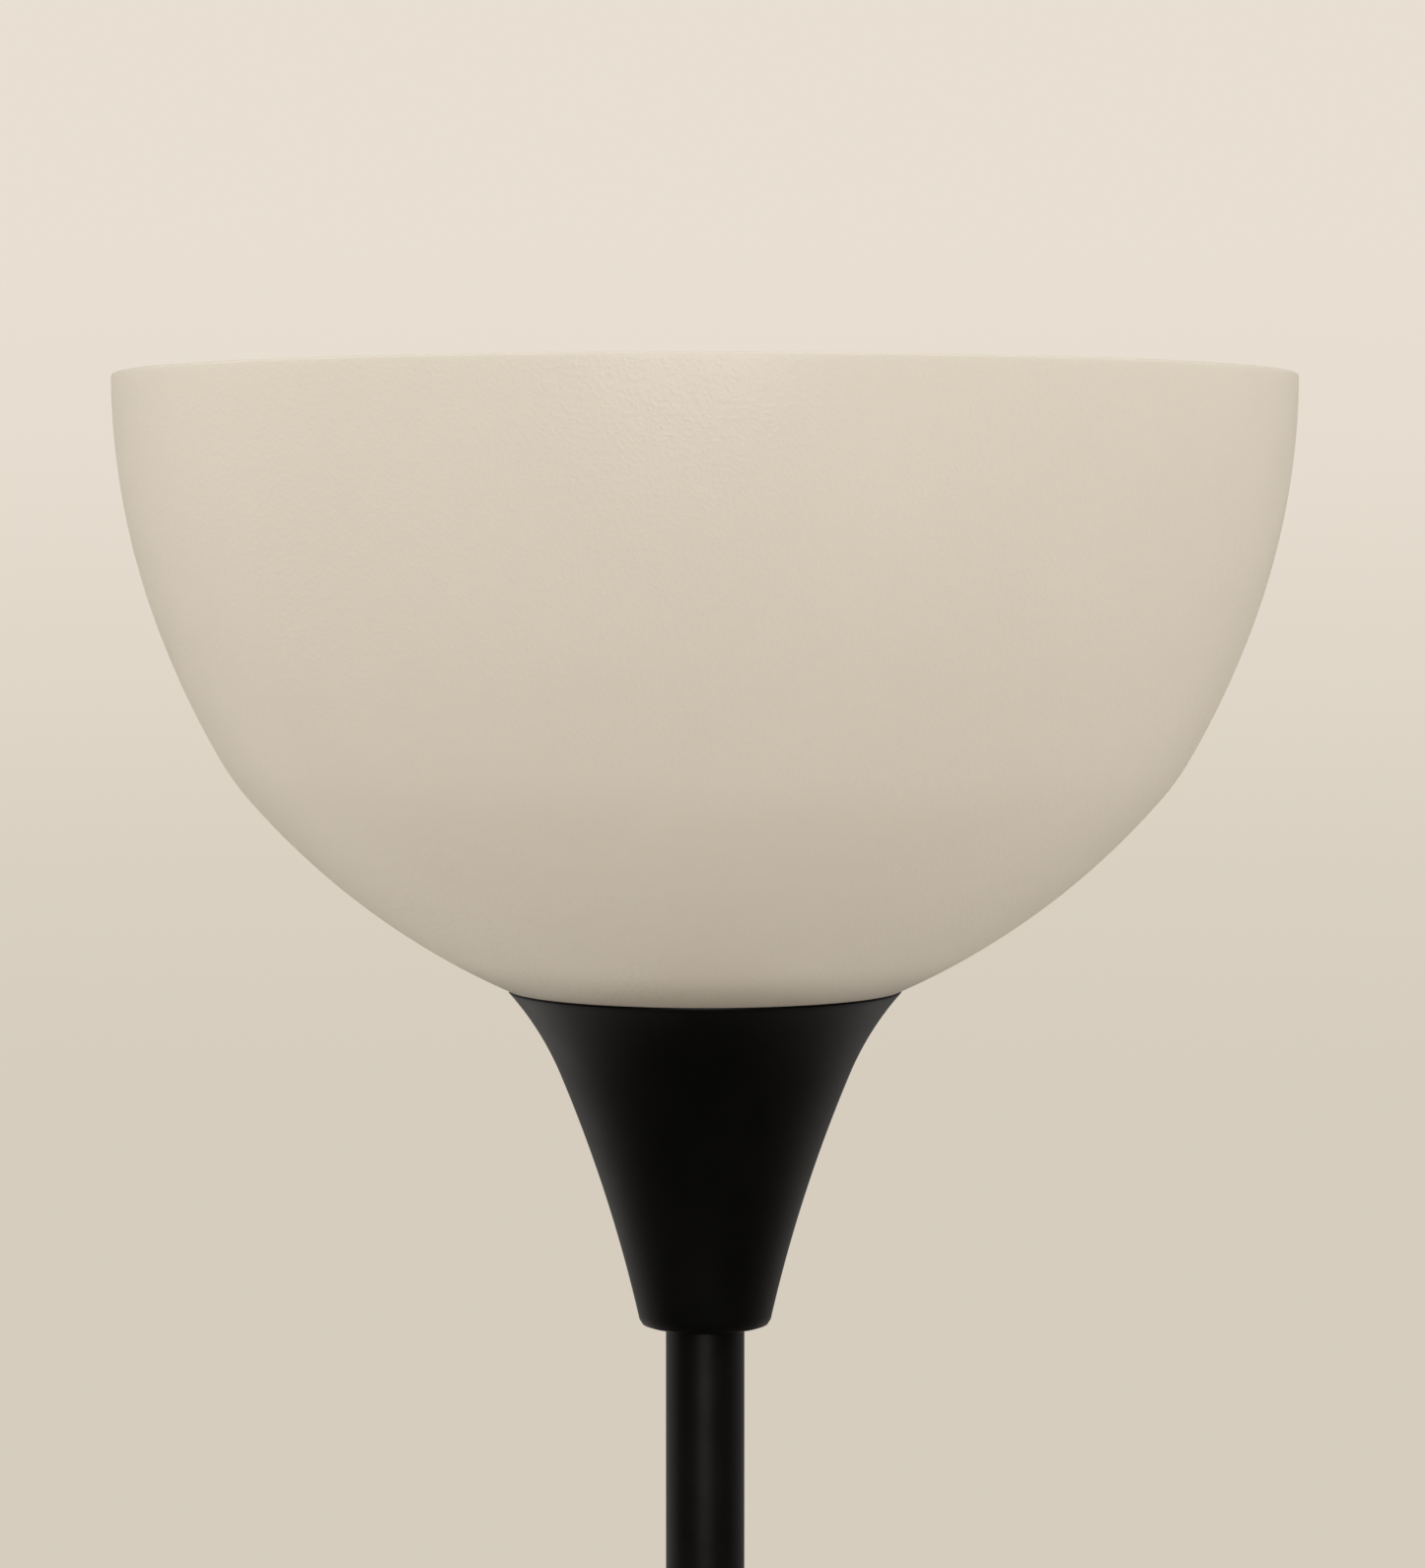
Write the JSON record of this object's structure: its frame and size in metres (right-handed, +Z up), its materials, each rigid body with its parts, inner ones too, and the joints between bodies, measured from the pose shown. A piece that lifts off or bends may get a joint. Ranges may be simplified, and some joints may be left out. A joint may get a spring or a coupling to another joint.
{
  "type": "torchiere floor lamp",
  "caption": "Floor lamp with a wide upward bowl shade of translucent plastic on a slim black pole, with a flared cup under the shade, a knob switch on the pole and a weighted round base.",
  "frame": {"origin": "centre of the foam pad's underside, on the floor under the middle of the base", "axes": "+Z up along the pole, -Y towards the front, where the switch knob points, and +Y towards the cord inlet"},
  "size_m": [0.28, 0.28, 1.8],
  "materials": {
    "foam": "matte",
    "concrete": "matte",
    "black_steel": "satin",
    "black_plastic": "satin",
    "cup_plastic": "satin",
    "knob_plastic": "satin",
    "black_rubber": "matte",
    "zinc_steel": "satin",
    "brown_plastic": "satin",
    "brass": "satin",
    "wire_insulation": "matte",
    "porcelain": "satin",
    "nickel": "satin",
    "solder": "satin",
    "black_glass": "gloss",
    "circuit_board": "matte",
    "white_plastic": "matte",
    "aluminium_board": "matte",
    "globe_plastic": "satin",
    "shade_plastic": "satin"
  },
  "bodies": {
    "stand": {"base_pad": "foam", "base_weight": "concrete", "base_cover": "black_steel", "base_collar": "black_plastic", "base_washer": "zinc_steel", "base_nipple": "zinc_steel", "cord_gland": "black_rubber", "lower_tube": "black_steel", "middle_tube": "black_steel", "upper_tube": "black_steel", "tube_inserts": "zinc_steel", "tube_nipple": "zinc_steel", "switch_nipples": "zinc_steel", "nipple_nuts": "zinc_steel", "switch_housing": "black_steel", "switch_lower_cap": "black_plastic", "switch_upper_cap": "black_plastic", "housing_screws": "zinc_steel", "switch_block": "brown_plastic", "switch_bushing": "brass", "switch_nut": "zinc_steel", "upper_leads": "wire_insulation", "socket_cup": "cup_plastic", "head_nipple": "zinc_steel", "head_washer": "zinc_steel", "holder_dome": "black_plastic", "holder_body": "black_plastic", "holder_core": "porcelain", "holder_shell": "nickel", "centre_contact": "brass", "terminal_screws": "brass", "shade": "shade_plastic", "shade_ring": "black_plastic"},
    "knob": {"switch_spindle": "brass", "switch_knob": "knob_plastic"},
    "bulb_tip": {"bulb_contact": "solder"},
    "bulb": {"bulb_insulator": "black_glass", "bulb_cap": "nickel", "bulb_driver": "circuit_board", "bulb_housing": "white_plastic", "bulb_board": "aluminium_board", "bulb_globe": "globe_plastic"}
  },
  "joints": [
    {"name": "knob_turn", "type": "hinge", "parent": "stand", "child": "knob", "pos_m": [0, -0.02, 1.052], "axis": [0, -1, 0], "continuous": true},
    {"name": "bulb_rise", "type": "slide", "parent": "stand", "child": "bulb_tip", "axis": [0, 0, 1], "range_m": [0, 0.0219]},
    {"name": "bulb_turn", "type": "hinge", "parent": "bulb_tip", "child": "bulb", "pos_m": [0, 0, 1.65], "axis": [0, 0, 1], "range_deg": [0, 2160]}
  ],
  "couplings": [
    {"joint": "bulb_rise", "follows": "bulb_turn", "m_per_rad": 0.0005776}
  ]
}
